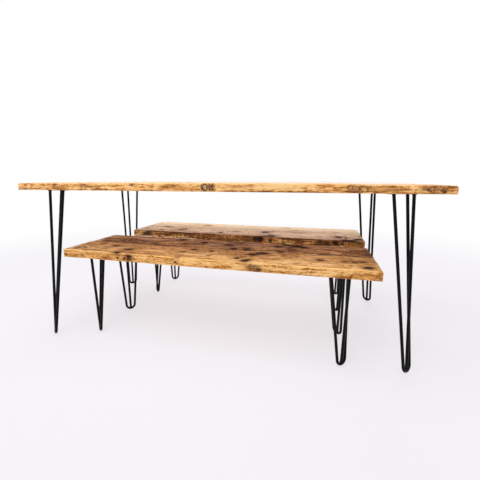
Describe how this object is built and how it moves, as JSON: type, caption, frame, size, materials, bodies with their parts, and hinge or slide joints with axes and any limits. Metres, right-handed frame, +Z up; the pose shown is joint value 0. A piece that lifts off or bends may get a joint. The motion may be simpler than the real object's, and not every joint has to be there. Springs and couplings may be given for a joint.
{
  "type": "table with nested benches",
  "caption": "Plank-topped dining table on three-rod hairpin legs, with low plank benches on shorter hairpin legs that slide out from under it.",
  "frame": {"origin": "on the floor, under the middle of the whole set's length and depth, as the set stands with its benches half tucked in", "axes": "+X along the table's length to the right, +Y to the rear (away from the front bench), +Z up"},
  "size_m": [1.8, 1.0083, 0.744],
  "materials": {
    "waxed_pine": "reclaimed pine, sanded and waxed, with dark knots",
    "beech": "plain",
    "black_powder_coat": "satin black powder coat on mild steel",
    "black_zinc": "black passivated steel"
  },
  "bodies": {
    "table": {"table_dowels": "beech", "table_front_left_brace_rod": "black_powder_coat", "table_front_left_hairpin_rod": "black_powder_coat", "table_front_left_leg_plate": "black_powder_coat", "table_front_right_brace_rod": "black_powder_coat", "table_front_right_hairpin_rod": "black_powder_coat", "table_front_right_leg_plate": "black_powder_coat", "table_plank_front": "waxed_pine", "table_plank_front_inner": "waxed_pine", "table_plank_rear": "waxed_pine", "table_plank_rear_inner": "waxed_pine", "table_plate_screws": "black_zinc", "table_rear_left_brace_rod": "black_powder_coat", "table_rear_left_hairpin_rod": "black_powder_coat", "table_rear_left_leg_plate": "black_powder_coat", "table_rear_right_brace_rod": "black_powder_coat", "table_rear_right_hairpin_rod": "black_powder_coat", "table_rear_right_leg_plate": "black_powder_coat"},
    "front_bench": {"front_bench_dowels": "beech", "front_bench_front_left_brace_rod": "black_powder_coat", "front_bench_front_left_hairpin_rod": "black_powder_coat", "front_bench_front_left_leg_plate": "black_powder_coat", "front_bench_front_right_brace_rod": "black_powder_coat", "front_bench_front_right_hairpin_rod": "black_powder_coat", "front_bench_front_right_leg_plate": "black_powder_coat", "front_bench_plank_front": "waxed_pine", "front_bench_plank_rear": "waxed_pine", "front_bench_plate_screws": "black_zinc", "front_bench_rear_left_brace_rod": "black_powder_coat", "front_bench_rear_left_hairpin_rod": "black_powder_coat", "front_bench_rear_left_leg_plate": "black_powder_coat", "front_bench_rear_right_brace_rod": "black_powder_coat", "front_bench_rear_right_hairpin_rod": "black_powder_coat", "front_bench_rear_right_leg_plate": "black_powder_coat"},
    "rear_bench": {"rear_bench_dowels": "beech", "rear_bench_front_left_brace_rod": "black_powder_coat", "rear_bench_front_left_hairpin_rod": "black_powder_coat", "rear_bench_front_left_leg_plate": "black_powder_coat", "rear_bench_front_right_brace_rod": "black_powder_coat", "rear_bench_front_right_hairpin_rod": "black_powder_coat", "rear_bench_front_right_leg_plate": "black_powder_coat", "rear_bench_plank_front": "waxed_pine", "rear_bench_plank_rear": "waxed_pine", "rear_bench_plate_screws": "black_zinc", "rear_bench_rear_left_brace_rod": "black_powder_coat", "rear_bench_rear_left_hairpin_rod": "black_powder_coat", "rear_bench_rear_left_leg_plate": "black_powder_coat", "rear_bench_rear_right_brace_rod": "black_powder_coat", "rear_bench_rear_right_hairpin_rod": "black_powder_coat", "rear_bench_rear_right_leg_plate": "black_powder_coat"}
  },
  "joints": [
    {"name": "front_bench_slide", "type": "slide", "parent": "table", "child": "front_bench", "axis": [-0.0583, -0.9983, 0], "range_m": [-0.03, 0.5]},
    {"name": "rear_bench_slide", "type": "slide", "parent": "table", "child": "rear_bench", "axis": [0.0676, 0.9977, 0], "range_m": [-0.11, 0.35]}
  ]
}
